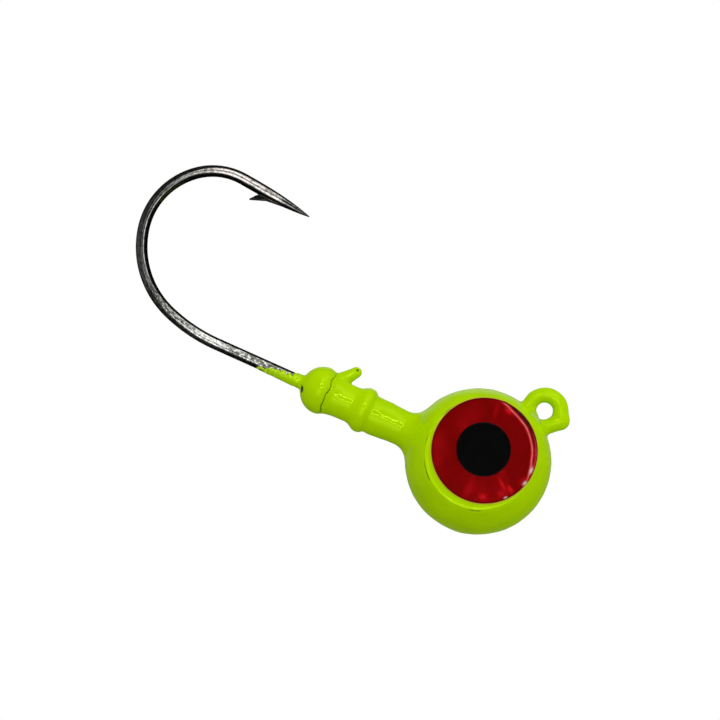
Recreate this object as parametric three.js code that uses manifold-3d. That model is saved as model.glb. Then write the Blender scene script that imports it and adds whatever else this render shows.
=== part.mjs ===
// A round-head jig: a lead ball with a keeper collar, cast on a bent jig hook, powder painted,
// with a foil sticker eye on each flat cheek. Millimetres, riding attitude: +X forward, +Z up
// towards the hook point, Y across. The origin is the centre of the line-tie eyelet.
import * as THREE from "three";
import { mergeVertices } from "three/addons/utils/BufferGeometryUtils.js";
import Module from "manifold-3d";

// Driving dimensions. X and Z below are measured from the ball's centre, on the shank's axis.
const BALL_RADIUS = 8.75; // over the paint
const CHEEK = 5.84; // from the middle plane to each flat cheek, over the paint
const PAINT = 0.13; // thickness of the powder coat
const COAT_GAP = 0.02; // between the coat and what it covers

const WIRE = 1.47; // hook wire diameter
const EYELET = { x: 4.77, z: 8.86, radius: 1.91 }; // hole centre and the ring's centreline
const LEG_RISE = 42; // degrees from the shank to the leg that carries the eyelet
const LEG_BEND = 2.2; // centreline radius where the leg leaves the shank
const CORNER_BEND = 0.95; // centreline radius of the kink where the leg becomes the ring
const RING_START = 30; // degrees round the ring, from forward, where the kink has run out
const RING_END = 218; // and where the wire's cut end is, inside the ball
const CHANNEL_PAST_END = 1; // degrees that the wire's channel goes on past the cut end
const PAINT_PAST_END = 7; // and that the paint's core does

// The hook from the shank's bare end to the point: [radius, degrees turned] for each bend.
const SHANK_END = -34.4;
const BEND = [
  [19.95, 19.9],
  [11.12, 58.3],
  [8.76, 62.6],
  [7.51, 45],
];
const POINT_LENGTH = 9.45; // the ground part, from the last bend to the tip
const POINT_FULLNESS = 2.8; // a cone is 1, a blunter ogive is higher
const TIP_BLUNTNESS = 0.05; // of the wire's radius
// The barb under the point: how far back from the tip its keel starts, its lip is raised, its own
// tip and its notch are, and how far each is below the point's axis.
const BARB = {
  keel: [2.3, 0.4],
  lip: [5.8, 0.8],
  tip: [7.38, 1.6],
  notch: [6.9, 0.55],
  width: 0.7,
};

// The keeper collar behind the ball, over the paint.
const NECK = { x: -9.9, r: 2.17, front: 1, back: 1.8 }; // front and back are control points
const RIDGE = { x: -14.9, top: 3.24, half: 1.2, foot: 2.28 }; // top is its curve's control point
const BARREL = { x: -17.6, r: 2.06 }; // a control point too
const GROOVE = { x: -19.75, r: 2.36 };
const BULB = { x: -20.7, r: 2.86, end: -23.3 };
const BULB_SHOULDER = { x: -21.9, r: 2.46 };
const BULB_HEEL = { x: -22.85, r: 1.573 };
const NECK_FILLET_END = -7.7; // X where the neck's fillet has run out into the ball

// The keeper barb, a finger that leans forward on top of the collar.
const SPUR = { foot: [-18.9, 2.1], tip: [-17.65, 3.78], radius: 0.68 };

// Paint that ran on along the shank: all round, then only underneath.
const SLEEVE_END = -25.4;
const RUN_END = -29.4;
const RUN_LENGTH = 5;
const RUN_TOP = -0.15;

// The sticker eyes, half an inch across. Each sits a little high on its cheek.
const STICKER = { radius: 6.35, x: 0.3, z: 0.8 };
const PUPIL = { radius: 3.24, x: -0.16, z: 0.08 }; // from the sticker's centre
const LAYERS = { adhesive: 0.06, foil: 0.08, ink: 0.04, film: 0.12 };

const ROUND = 32; // facets round the ball and collar
const WIRE_SIDES = 12;
const DISC_SIDES = 48;

const COLOURS = {
  hook: [0x2b2a2c, 0.22, 1],
  lead: [0x8d9094, 0.55, 0.9],
  paint: [0xa6d800, 0.22, 0],
  adhesive: [0xe9e6d8, 0.6, 0],
  foil: [0x9a0008, 0.25, 0.8],
  ink: [0x050505, 0.35, 0],
  film: [0xf4f4f4, 0.05, 0],
};

const wasm = await Module();
wasm.setup();

// Joining and cutting.
function solid(geometry) {
  geometry.deleteAttribute("normal");
  geometry.deleteAttribute("uv");
  const merged = mergeVertices(geometry, 1e-4);
  return new wasm.Manifold(
    new wasm.Mesh({
      numProp: 3,
      vertProperties: merged.attributes.position.array,
      triVerts: new Uint32Array(merged.index.array),
    }),
  );
}

function geometryOf(body) {
  const mesh = body.getMesh();
  const geometry = new THREE.BufferGeometry();
  geometry.setAttribute(
    "position",
    new THREE.BufferAttribute(new Float32Array(mesh.vertProperties), 3),
  );
  geometry.setIndex(new THREE.BufferAttribute(new Uint32Array(mesh.triVerts), 1));
  geometry.computeVertexNormals();
  return geometry;
}

function block(low, high) {
  const size = high.map((value, i) => value - low[i]);
  const middle = high.map((value, i) => (value + low[i]) / 2);
  return solid(new THREE.BoxGeometry(...size).translate(...middle));
}

// A route in the XZ plane, drawn by straights and bends from a start point and heading.
class Route extends THREE.Curve {
  constructor(x, z, headingDegrees) {
    super();
    this.heading = THREE.MathUtils.degToRad(headingDegrees);
    this.points = [new THREE.Vector3(x, 0, z)];
    this.headings = [this.heading];
  }

  straight(length, steps = 1) {
    const from = this.points.at(-1);
    const along = new THREE.Vector3(Math.cos(this.heading), 0, Math.sin(this.heading));
    for (let i = 1; i <= steps; i++) {
      this.points.push(from.clone().addScaledVector(along, (length * i) / steps));
      this.headings.push(this.heading);
    }
    return this;
  }

  // Turns by some degrees, left when positive, in steps of at most stepDegrees.
  bend(radius, degrees, stepDegrees) {
    const side = Math.sign(degrees);
    const start = this.heading;
    const from = this.points.at(-1);
    const centre = new THREE.Vector3(
      from.x - side * radius * Math.sin(start),
      0,
      from.z + side * radius * Math.cos(start),
    );
    const steps = Math.ceil(Math.abs(degrees) / stepDegrees);
    for (let i = 1; i <= steps; i++) {
      const angle = start + THREE.MathUtils.degToRad((degrees * i) / steps);
      this.points.push(
        new THREE.Vector3(
          centre.x + side * radius * Math.sin(angle),
          0,
          centre.z - side * radius * Math.cos(angle),
        ),
      );
      this.headings.push(angle);
      this.heading = angle;
    }
    return this;
  }

  // Goes back the way it came, so that it can be drawn on from where it started.
  reversed() {
    this.points.reverse();
    this.headings = this.headings.reverse().map((angle) => angle + Math.PI);
    this.heading = this.headings.at(-1);
    return this;
  }

  get steps() {
    return this.points.length - 1;
  }

  getPointAt(u, target = new THREE.Vector3()) {
    return target.copy(this.points[Math.round(u * this.steps)]);
  }

  // Every section keeps one side across the route's plane, so rods of two sizes have facets
  // that stay parallel.
  computeFrenetFrames() {
    const tangents = this.headings.map(
      (angle) => new THREE.Vector3(Math.cos(angle), 0, Math.sin(angle)),
    );
    const normals = tangents.map(() => new THREE.Vector3(0, 1, 0));
    const binormals = tangents.map((tangent, i) =>
      new THREE.Vector3().crossVectors(tangent, normals[i]),
    );
    return { tangents, normals, binormals };
  }
}

// A round rod along a route, as a geometry.
function rodGeometry(route, radius) {
  const section = new THREE.Shape();
  for (let i = 0; i < WIRE_SIDES; i++) {
    const angle = ((i + 0.5) / WIRE_SIDES) * 2 * Math.PI;
    const corner = [radius * Math.cos(angle), radius * Math.sin(angle)];
    if (i === 0) section.moveTo(...corner);
    else section.lineTo(...corner);
  }
  section.closePath();
  return new THREE.ExtrudeGeometry(section, {
    extrudePath: route,
    steps: route.steps,
  });
}

function rod(route, radius) {
  return solid(rodGeometry(route, radius));
}

// Turns a profile of (x, r) points, given from its front end to its back end, round the X axis.
function turned(profile, segments) {
  const points = profile.map(([x, r]) => new THREE.Vector2(r, x)).reverse();
  const lathe = new THREE.LatheGeometry(points, segments);
  return solid(lathe.rotateZ(-Math.PI / 2));
}

// Goes on along the shank and up to the eyelet. The leg is a tangent of the ring, and so is the
// line on which the ring starts, and a tight bend joins the two where they cross.
function toEyelet(route, ringEnd) {
  const rise = THREE.MathUtils.degToRad(LEG_RISE);
  const legX = EYELET.x + EYELET.radius * Math.sin(rise);
  const legZ = EYELET.z - EYELET.radius * Math.cos(rise);
  const vertexX = legX - legZ / Math.tan(rise); // where the leg's line meets the shank's
  const bendRun = LEG_BEND * Math.tan(rise / 2);
  const cornerTurn = RING_START + 90 - LEG_RISE;
  const half = THREE.MathUtils.degToRad(cornerTurn / 2);
  const tangentRun = EYELET.radius * Math.tan(half);
  const cornerRun = CORNER_BEND * Math.tan(half);
  return route
    .straight(vertexX - bendRun - route.points.at(-1).x)
    .bend(LEG_BEND, LEG_RISE, 11)
    .straight(legZ / Math.sin(rise) + tangentRun - bendRun - cornerRun)
    .bend(CORNER_BEND, cornerTurn, 20)
    .straight(tangentRun - cornerRun)
    .bend(EYELET.radius, ringEnd - RING_START, 18);
}

// A sleeve's solid core: round the wire from a place on the shank to just past its end.
function aroundWire(from, radius, ringEnd) {
  return rod(toEyelet(new Route(from, 0, 0), ringEnd), radius);
}

const wireChannel = () => aroundWire(SHANK_END, WIRE / 2 + COAT_GAP, RING_END + CHANNEL_PAST_END);

// From the shank's bare end round the bend to the tip.
function bendRoute() {
  const route = new Route(SHANK_END, 0, 180);
  for (const [radius, degrees] of BEND) route.bend(radius, -degrees, 8);
  return route.straight(POINT_LENGTH, 9);
}

// Draws the wire's last stretch in to a point: the wire's own axis runs from the tip back.
function sharpen(geometry, tip, heading) {
  const along = new THREE.Vector3(Math.cos(heading), 0, Math.sin(heading));
  const place = geometry.attributes.position;
  const vertex = new THREE.Vector3();
  for (let i = 0; i < place.count; i++) {
    vertex.fromBufferAttribute(place, i).sub(tip);
    const back = -vertex.dot(along) / POINT_LENGTH;
    if (back > 1 || vertex.length() > 1.1 * POINT_LENGTH) continue;
    const fullness = 1 - (1 - back) ** POINT_FULLNESS;
    const axis = along.clone().multiplyScalar(vertex.dot(along));
    vertex.sub(axis).multiplyScalar(Math.max(fullness, TIP_BLUNTNESS)).add(axis).add(tip);
    place.setXYZ(i, vertex.x, vertex.y, vertex.z);
  }
  return geometry;
}

// The barb: a sliver cut up from the point's inner side, pointing back.
function barb(tip, heading) {
  const at = ([back, below]) => new THREE.Vector2(-back, -below);
  const inside = 0.2; // the sliver's root, within the wire
  const sliver = new THREE.Shape([
    at([BARB.keel[0], inside]),
    at(BARB.keel),
    at(BARB.lip),
    at(BARB.tip),
    at(BARB.notch),
    at([BARB.notch[0] - inside, inside]),
  ]);
  const plate = new THREE.ExtrudeGeometry(sliver, {
    depth: BARB.width,
    bevelEnabled: false,
  });
  plate.translate(0, 0, -BARB.width / 2).rotateX(Math.PI / 2);
  return solid(plate.rotateY(-heading).translate(tip.x, 0, tip.z));
}

function hook() {
  const bend = bendRoute();
  const tip = bend.points.at(-1);
  const heading = bend.heading;
  const wire = rodGeometry(toEyelet(bend.reversed(), RING_END), WIRE / 2);
  return solid(sharpen(wire, tip, heading)).add(barb(tip, heading));
}

// The outline of ball and collar, (x, r) from the nose back to the wire, as curves that follow on
// and the number of facets along each.
function headOutline() {
  const at = (x, r) => new THREE.Vector2(x, r);
  const nose = Math.acos(NECK_FILLET_END / BALL_RADIUS);
  const fillet = at(NECK_FILLET_END, BALL_RADIUS * Math.sin(nose));
  const ridgeFront = at(RIDGE.x + RIDGE.half, RIDGE.foot);
  const ridgeBack = at(RIDGE.x - RIDGE.half, RIDGE.foot);
  const neck = at(NECK.x, NECK.r);
  const groove = at(GROOVE.x, GROOVE.r);
  return [
    [new THREE.EllipseCurve(0, 0, BALL_RADIUS, BALL_RADIUS, 0, nose), 12],
    [new THREE.QuadraticBezierCurve(fillet, at(NECK.x + NECK.front, NECK.r), neck), 4],
    [new THREE.QuadraticBezierCurve(neck, at(NECK.x - NECK.back, NECK.r), ridgeFront), 2],
    [new THREE.QuadraticBezierCurve(ridgeFront, at(RIDGE.x, RIDGE.top), ridgeBack), 4],
    [new THREE.QuadraticBezierCurve(ridgeBack, at(BARREL.x, BARREL.r), groove), 3],
    [
      new THREE.SplineCurve([
        groove,
        at(BULB.x, BULB.r),
        at(BULB_SHOULDER.x, BULB_SHOULDER.r),
        at(BULB_HEEL.x, BULB_HEEL.r),
        at(BULB.end, WIRE / 2),
      ]),
      8,
    ],
  ];
}

// Points of the outline, moved in by a depth along the outline's own normal.
function headProfile(depth) {
  const points = [];
  for (const [curve, steps] of headOutline())
    points.push(...curve.getPoints(steps).slice(points.length ? 1 : 0));
  const inner = points.map((point, i) => {
    const before = points[Math.max(i - 1, 0)];
    const after = points[Math.min(i + 1, points.length - 1)];
    const along = after.clone().sub(before).normalize();
    return [point.x - depth * along.y, point.y + depth * along.x];
  });
  inner[0] = [BALL_RADIUS - depth, 0];
  return [...inner, [inner.at(-1)[0], 0]];
}

// Ball, collar, flat cheeks and keeper barb, all the given depth under the painted surface.
function headBody(depth) {
  const reach = 2 * BALL_RADIUS;
  const cheek = CHEEK - depth;
  const between = block([-3 * reach, -cheek, -reach], [reach, cheek, reach]);
  const [footX, footZ] = SPUR.foot;
  const [tipX, tipZ] = SPUR.tip;
  const length = Math.hypot(tipX - footX, tipZ - footZ);
  const lean = Math.atan2(tipX - footX, tipZ - footZ);
  const finger = new THREE.CapsuleGeometry(SPUR.radius - depth, length, 4, 10);
  finger.rotateX(Math.PI / 2).rotateY(lean);
  finger.translate((footX + tipX) / 2, 0, (footZ + tipZ) / 2);
  return turned(headProfile(depth), ROUND).intersect(between).add(solid(finger));
}

// The lead is cast round the wire, with the channel that the wire leaves in it.
function leadHead() {
  return headBody(PAINT + COAT_GAP).subtract(wireChannel());
}

function paintCoat() {
  const over = WIRE / 2 + COAT_GAP + PAINT;
  const sleeve = aroundWire(SLEEVE_END, over, RING_END + PAINT_PAST_END);
  const run = rod(new Route(RUN_END, 0, 0).straight(RUN_LENGTH), over).intersect(
    block([RUN_END - 1, -WIRE, -WIRE], [RUN_END + RUN_LENGTH + 1, WIRE, RUN_TOP]),
  );
  return headBody(0)
    .add(sleeve)
    .add(run)
    .subtract(headBody(PAINT))
    .subtract(wireChannel());
}

// A disc on a cheek, from one distance to another outwards, on the left (+1) or right (-1) side.
function disc(side, radius, x, z, from, to) {
  const geometry = new THREE.CylinderGeometry(radius, radius, to - from, DISC_SIDES);
  return solid(geometry.translate(x, (side * (from + to)) / 2, z));
}

// The layers of one sticker eye, from the paint outwards.
function eyeLayers(side) {
  const { radius, x, z } = STICKER;
  const pupilX = x + PUPIL.x;
  const pupilZ = z + PUPIL.z;
  const foilFrom = CHEEK + LAYERS.adhesive;
  const filmFrom = foilFrom + LAYERS.foil;
  const inkTo = filmFrom + LAYERS.ink;
  const pocket = disc(side, PUPIL.radius + COAT_GAP, pupilX, pupilZ, foilFrom, inkTo);
  return {
    eye_adhesive: [disc(side, radius, x, z, CHEEK, foilFrom), "adhesive"],
    iris_foil: [disc(side, radius, x, z, foilFrom, filmFrom), "foil"],
    pupil_ink: [disc(side, PUPIL.radius, pupilX, pupilZ, filmFrom, inkTo), "ink"],
    clear_film: [
      disc(side, radius, x, z, filmFrom, filmFrom + LAYERS.film).subtract(pocket),
      "film",
    ],
  };
}

// The assembly.
function piece(name, body, finish) {
  const [color, roughness, metalness] = COLOURS[finish];
  const material = new THREE.MeshStandardMaterial({ color, roughness, metalness });
  const mesh = new THREE.Mesh(geometryOf(body), material);
  mesh.name = name;
  return mesh;
}

const casting = new THREE.Group();
casting.add(piece("hook", hook(), "hook"));
casting.add(piece("lead_head", leadHead(), "lead"));
casting.add(piece("paint_coat", paintCoat(), "paint"));

for (const [sideName, side] of [
  ["left", 1],
  ["right", -1],
]) {
  const eye = new THREE.Group();
  for (const [layer, [body, finish]] of Object.entries(eyeLayers(side)))
    eye.add(piece(`${layer}_${sideName}`, body, finish));
  casting.add(eye);
}

// The whole jig is placed so that the eyelet's centre is the origin.
casting.position.set(-EYELET.x, 0, -EYELET.z);
const jigHead = new THREE.Group();
jigHead.add(casting);

export default jigHead;
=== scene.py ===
"""The looks of a painted round-head jig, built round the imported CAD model.

Shapes are worked out in millimetres from the ball's centre, with +X forward along the shank and +Z up,
and go into the CAD frame, in metres, when their meshes are made.
"""

import math

import bmesh
import bpy
import numpy as np
from mathutils import Matrix, Vector


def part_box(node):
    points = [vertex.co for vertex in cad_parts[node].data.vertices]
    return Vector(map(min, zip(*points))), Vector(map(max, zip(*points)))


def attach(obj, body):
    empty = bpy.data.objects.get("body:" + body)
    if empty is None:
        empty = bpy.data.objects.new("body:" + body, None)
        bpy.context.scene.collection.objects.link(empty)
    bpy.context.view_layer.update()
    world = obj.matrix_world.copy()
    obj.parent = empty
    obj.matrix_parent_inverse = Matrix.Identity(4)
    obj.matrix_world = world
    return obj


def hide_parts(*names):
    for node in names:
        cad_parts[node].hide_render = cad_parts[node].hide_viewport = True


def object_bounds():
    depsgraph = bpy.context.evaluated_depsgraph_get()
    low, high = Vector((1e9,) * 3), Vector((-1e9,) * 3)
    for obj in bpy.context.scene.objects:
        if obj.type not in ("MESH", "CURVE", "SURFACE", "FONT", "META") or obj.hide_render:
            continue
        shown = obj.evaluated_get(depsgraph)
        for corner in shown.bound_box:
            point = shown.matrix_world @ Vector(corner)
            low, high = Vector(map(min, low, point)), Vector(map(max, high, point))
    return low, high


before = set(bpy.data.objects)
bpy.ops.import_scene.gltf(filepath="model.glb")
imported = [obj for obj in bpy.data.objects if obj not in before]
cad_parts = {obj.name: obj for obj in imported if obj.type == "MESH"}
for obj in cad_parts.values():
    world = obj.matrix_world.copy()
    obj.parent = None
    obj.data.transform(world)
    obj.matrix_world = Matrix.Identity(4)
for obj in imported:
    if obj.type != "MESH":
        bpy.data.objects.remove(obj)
cad_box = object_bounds()

MM = 0.001

# The design's driving dimensions, in millimetres.
BALL_RADIUS = 8.75
CHEEK = 5.84
LAND_RADIUS = 6.5
WIRE = 1.47
PAINT = 0.15  # with the gap under it
RING_RADIUS = 1.91
RING_START = math.radians(30)  # where the leg's kink has run out into the ring, from forward
RING_END = math.radians(218)
PAINTED_RING_END = math.radians(225)
KINK_BEND = 0.4
LEG_RISE = math.radians(42)
LEG_BEND = 2.2
SHANK_END = -34.4
BENDS = [(19.95, 19.9), (11.12, 58.3), (8.76, 62.6), (7.51, 45.0)]
POINT_LENGTH = 9.45
POINT_FULLNESS = 2.8

# The ball's centre in the frame, from the painted head's own box.
coat_low, coat_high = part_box("paint_coat")
BALL = np.array([coat_high.x / MM - BALL_RADIUS, 0.0, coat_low.z / MM + BALL_RADIUS])
EYELET = -BALL  # the frame's origin is the eyelet's centre


# ---- camera, lights and stage

ROLL = math.radians(24.36)  # the shank runs down to the right by this much
TILT = math.radians(8)  # the camera looks up by this much
VIEW_WIDTH = 86.04  # how much of the ball's plane the view takes in
CAMERA_DISTANCE = 500.0
BALL_RIGHT, BALL_BELOW = 14.11, 12.12  # the ball's centre from the view's centre
SENSOR = 36.0
LAMP_RISE = math.radians(20)  # the square ring lamp's height over the camera's axis
LAMP_INNER, LAMP_OUTER = 0.16, 0.215  # half widths, as tangents
LAMP_POWER, LAMP_DISTANCE = 10.0, 400.0
MATT_LEVEL, MATT_SLOPE = 0.755, np.array([0.16, 0.375, 0.30])  # brighter to the right, up and front
# Soft panels that gloss mirrors, laid out by how far right and up the normal of a surface that mirrors
# them to the camera leans, as sines: strength, the panel's turn in degrees, then its place and reach
# along that turn and across it.
PANELS = [
    (2.0, 65.6, (0.36, 0.17), (-0.10, 0.10)),
    (1.2, 65.6, (0.54, 0.12), (0.06, 0.10)),
    (1.2, 90.0, (0.10, 0.24), (0.285, 0.06)),
    (1.8, 90.0, (-0.03, 0.125), (-0.07, 0.13)),
    (1.3, 90.0, (-0.17, 0.11), (-0.11, 0.14)),
    (0.4, 90.0, (-0.10, 0.10), (0.17, 0.10)),
    (0.07, 90.0, (0.00, 0.40), (-0.55, 0.30)),
]
GLOSS_LEVEL = 0.02  # what gloss mirrors between the panels
# Light from behind, which only grazing gloss mirrors. BEHIND is where it starts and where it is full, as
# the part of a direction that points to the camera. OVER is the part that points up, for its colour.
BEHIND, OVER = (-0.66, -0.93), (-0.1, 0.45)
BEHIND_BELOW, BEHIND_ABOVE = (0.22, 0.30, 0.05, 1.0), (0.50, 0.52, 0.40, 1.0)
FLOOR_DROP, FLOOR_HALF = 0.055, 4.0  # how far under the model, and half its width, in metres

RIGHT = np.array([math.cos(ROLL), 0, math.sin(ROLL)])
FLAT_UP = np.array([-math.sin(ROLL), 0, math.cos(ROLL)])
FORWARD = np.array([0, math.cos(TILT), 0]) + math.sin(TILT) * FLAT_UP
UP = math.cos(TILT) * FLAT_UP - np.array([0, math.sin(TILT), 0])
AIM = BALL - BALL_RIGHT * RIGHT + BALL_BELOW * UP


def facing(place, target, up):
    """A matrix at place, in metres, whose -Z looks at target and whose Y is near up."""
    back = (Vector(place) - Vector(target)).normalized()
    side = Vector(up).cross(back).normalized()
    turn = Matrix((side, back.cross(side), back)).transposed()
    return Matrix.Translation(Vector(place)) @ turn.to_4x4()


def placed(name, data):
    """A new object in the scene."""
    made = bpy.data.objects.new(name, data)
    bpy.context.scene.collection.objects.link(made)
    return made


def make_camera():
    data = bpy.data.cameras.new("camera")
    data.sensor_width = SENSOR
    data.lens = SENSOR * CAMERA_DISTANCE / VIEW_WIDTH
    data.clip_start, data.clip_end = 0.01, 20
    camera = placed("camera", data)
    place = (AIM - CAMERA_DISTANCE * FORWARD) * MM
    camera.matrix_world = facing(place, AIM * MM, UP)
    bpy.context.scene.camera = camera


# ---- node helpers


class Nodes:
    """Adds nodes to a material or world and links them."""

    def __init__(self, tree):
        self.tree = tree
        tree.nodes.clear()

    def add(self, kind, inputs=None, **settings):
        node = self.tree.nodes.new("ShaderNode" + kind)
        for key, value in settings.items():
            setattr(node, key, value)
        for key, value in (inputs or {}).items():
            if isinstance(value, bpy.types.NodeSocket):
                self.tree.links.new(value, node.inputs[key])
            else:
                node.inputs[key].default_value = value
        return node

    def math(self, operation, a, b=0.0, c=0.0):
        node = self.add("Math", {0: a, 1: b, 2: c}, operation=operation)
        return node.outputs[0]

    def times(self, a, b):
        return self.math("MULTIPLY", a, b)

    def remap(self, value, from_low, from_high, to_low, to_high):
        inputs = {"Value": value, 1: from_low, 2: from_high, 3: to_low, 4: to_high}
        return self.add("MapRange", inputs, clamp=True).outputs[0]

    def scaled(self, value, middle, reach):
        """How many reaches a value is from a middle."""
        return self.math("DIVIDE", self.math("SUBTRACT", value, middle), reach)

    def fall_off(self, size):
        """e to the power of minus size."""
        return self.math("EXPONENT", self.times(size, -1.0))

    def turn_from(self, turn, middle):
        """How far a turn is from a middle one, from minus to plus half a turn."""
        return self.math("WRAP", self.math("SUBTRACT", turn, middle), math.pi, -math.pi)

    def attribute(self, name, output="Fac"):
        return self.add("Attribute", attribute_name=name).outputs[output]

    def noise(self, vector, scale, detail=3.0, roughness=0.5):
        inputs = {"Vector": vector, "Scale": scale, "Detail": detail, "Roughness": roughness}
        return self.add("TexNoise", inputs).outputs[0]

    def mix(self, factor, a, b, blend="MIX"):
        inputs = {0: factor, 6: a, 7: b}
        return self.add("Mix", inputs, data_type="RGBA", blend_type=blend).outputs[2]

    def bump(self, height, strength, distance):
        inputs = {"Height": height, "Strength": strength, "Distance": distance}
        return self.add("Bump", inputs).outputs[0]


def rgb(red, green, blue):
    return (red, green, blue, 1.0)


def material(name, looks, *details):
    """A new node material: looks(nodes, position, *details) returns the Principled node's inputs."""
    made = bpy.data.materials.new(name)
    made.use_nodes = True
    nodes = Nodes(made.node_tree)
    position = nodes.add("TexCoord").outputs["Object"]
    shader = nodes.add("BsdfPrincipled", looks(nodes, position, *details))
    nodes.add("OutputMaterial", {"Surface": shader.outputs[0]})
    return made


# ---- world and floor


def panel_shape(nodes, lean_right, lean_up, turn, along, across):
    """1 inside a panel with soft edges, and 0 away from it."""
    c, s = math.cos(math.radians(turn)), math.sin(math.radians(turn))
    far = nodes.math("MULTIPLY_ADD", lean_right, c, nodes.times(lean_up, s))
    beside = nodes.math("MULTIPLY_ADD", lean_right, s, nodes.times(lean_up, -c))
    tall = nodes.math("POWER", nodes.scaled(far, *along), 4.0)
    wide = nodes.math("POWER", nodes.scaled(beside, *across), 4.0)
    return nodes.fall_off(nodes.math("ADD", wide, tall))


def mirrored_light(nodes, right, up, front):
    """What gloss mirrors from a direction, given as its parts to the right, up and to the camera."""
    halfway = nodes.math("MULTIPLY_ADD", front, 2.0, 2.0)
    halfway = nodes.math("SQRT", nodes.math("MAXIMUM", halfway, 0.01))
    lean_right = nodes.math("DIVIDE", right, halfway)
    lean_up = nodes.math("DIVIDE", up, halfway)
    gloss = GLOSS_LEVEL
    for level, *panel in PANELS:
        shape = panel_shape(nodes, lean_right, lean_up, *panel)
        gloss = nodes.math("MULTIPLY_ADD", shape, level, gloss)
    rim = nodes.mix(nodes.remap(up, *OVER, 0.0, 1.0), BEHIND_BELOW, BEHIND_ABOVE)
    return nodes.mix(nodes.remap(front, *BEHIND, 0.0, 1.0), gloss, rim, "ADD")


def make_world():
    """White to the camera, a soft slope of light to matt surfaces, and panels that only gloss mirrors."""
    world = bpy.data.worlds.new("studio")
    world.cycles.sampling_method = "NONE"
    bpy.context.scene.world = world
    world.use_nodes = True
    nodes = Nodes(world.node_tree)
    way = nodes.add("TexCoord").outputs["Generated"]

    def toward(direction):
        vector = tuple(float(v) for v in direction)
        return nodes.add("VectorMath", {0: way, 1: vector}, operation="DOT_PRODUCT").outputs["Value"]

    matt = nodes.math("ADD", toward(MATT_SLOPE @ np.array([RIGHT, UP, -FORWARD])), MATT_LEVEL)
    gloss = mirrored_light(nodes, toward(RIGHT), toward(UP), toward(-FORWARD))
    path = nodes.add("LightPath").outputs
    level = nodes.mix(path["Is Glossy Ray"], matt, gloss)
    level = nodes.mix(path["Is Camera Ray"], level, rgb(1, 1, 1))
    background = nodes.add("Background", {"Color": level})
    nodes.add("OutputWorld", {"Surface": background.outputs[0]})


def make_lamp(painted):
    """A square frame of light above the camera. Only the painted piece's gloss mirrors it."""
    receivers = bpy.data.collections.new("lamp_receivers")
    receivers.objects.link(painted)
    way = np.cos(LAMP_RISE) * -FORWARD + np.sin(LAMP_RISE) * UP
    rise = np.cos(LAMP_RISE) * UP + np.sin(LAMP_RISE) * FORWARD
    middle = (LAMP_INNER + LAMP_OUTER) / 2
    narrow, long = (size * LAMP_DISTANCE * MM for size in (LAMP_OUTER - LAMP_INNER, 2 * LAMP_OUTER))
    for index, (right, up) in enumerate(((1, 0), (-1, 0), (0, 1), (0, -1))):
        data = bpy.data.lights.new(f"lamp_{index}", "AREA")
        data.shape = "RECTANGLE"
        data.size, data.size_y = (narrow, long) if right else (long, narrow)
        data.energy = LAMP_POWER * math.pi * data.size * data.size_y
        light = placed(f"lamp_{index}", data)
        place = BALL + LAMP_DISTANCE * (way + middle * (right * RIGHT + up * rise))
        light.matrix_world = facing(place * MM, (place - LAMP_DISTANCE * way) * MM, rise)
        light.visible_camera = light.visible_diffuse = False
        light.light_linking.receiver_collection = receivers


def floor_looks(nodes, position):
    speck = nodes.noise(position, 40.0, 4.0)
    return {"Base Color": nodes.mix(speck, rgb(0.86, 0.86, 0.85), rgb(0.9, 0.9, 0.89)), "Roughness": 0.9}


def make_floor():
    bm = bmesh.new()
    bmesh.ops.create_grid(bm, x_segments=8, y_segments=8, size=FLOOR_HALF)
    mesh = bpy.data.meshes.new("floor")
    bm.to_mesh(mesh)
    bm.free()
    floor = placed("floor", mesh)
    floor.location.z = cad_box[0].z - FLOOR_DROP
    mesh.materials.append(material("pale_floor", floor_looks))
    floor.visible_glossy = floor.visible_diffuse = False


# ---- distance fields

FAR = 9.0  # a field's value where it isn't worked out


def smooth_min(a, b, reach):
    """Joins two fields with a soft fillet."""
    share = np.clip(0.5 + 0.5 * (b - a) / reach, 0, 1)
    return b * (1 - share) + a * share - reach * share * (1 - share)


def round_max(a, b, radius):
    """Where two fields overlap, with an edge rounded to that radius."""
    corner = np.hypot(np.maximum(radius + a, 0), np.maximum(radius + b, 0))
    return corner - np.maximum(radius, np.minimum(-a, -b))


def ramp(value, low, high):
    """0 below low and 1 above high, with a smooth rise between them."""
    share = np.clip((value - low) / (high - low), 0, 1)
    return share * share * (3 - 2 * share)


def bell(value, width):
    return np.exp(-((value / width) ** 2))


def waves(points, length, seed, count=8):
    """A smooth, seeded ripple in space, about -1 to 1, with features about that length apart."""
    draw = np.random.default_rng(seed)
    ways = draw.normal(size=(count, 3))
    ways /= np.linalg.norm(ways, axis=1)[:, None]
    rates = 2 * np.pi / length * draw.uniform(0.6, 1.4, count)
    phases = draw.uniform(0, 2 * np.pi, count)
    total = np.zeros(len(points))
    for way, rate, phase in zip(ways, rates, phases):
        total += np.sin(points @ way * rate + phase)
    return total / math.sqrt(count)


def where_near(near, field, points, *shape):
    """A field worked out only at the points that are near enough to matter."""
    values = np.full(len(points), FAR)
    values[near] = field(points[near], *shape)
    return values


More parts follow.
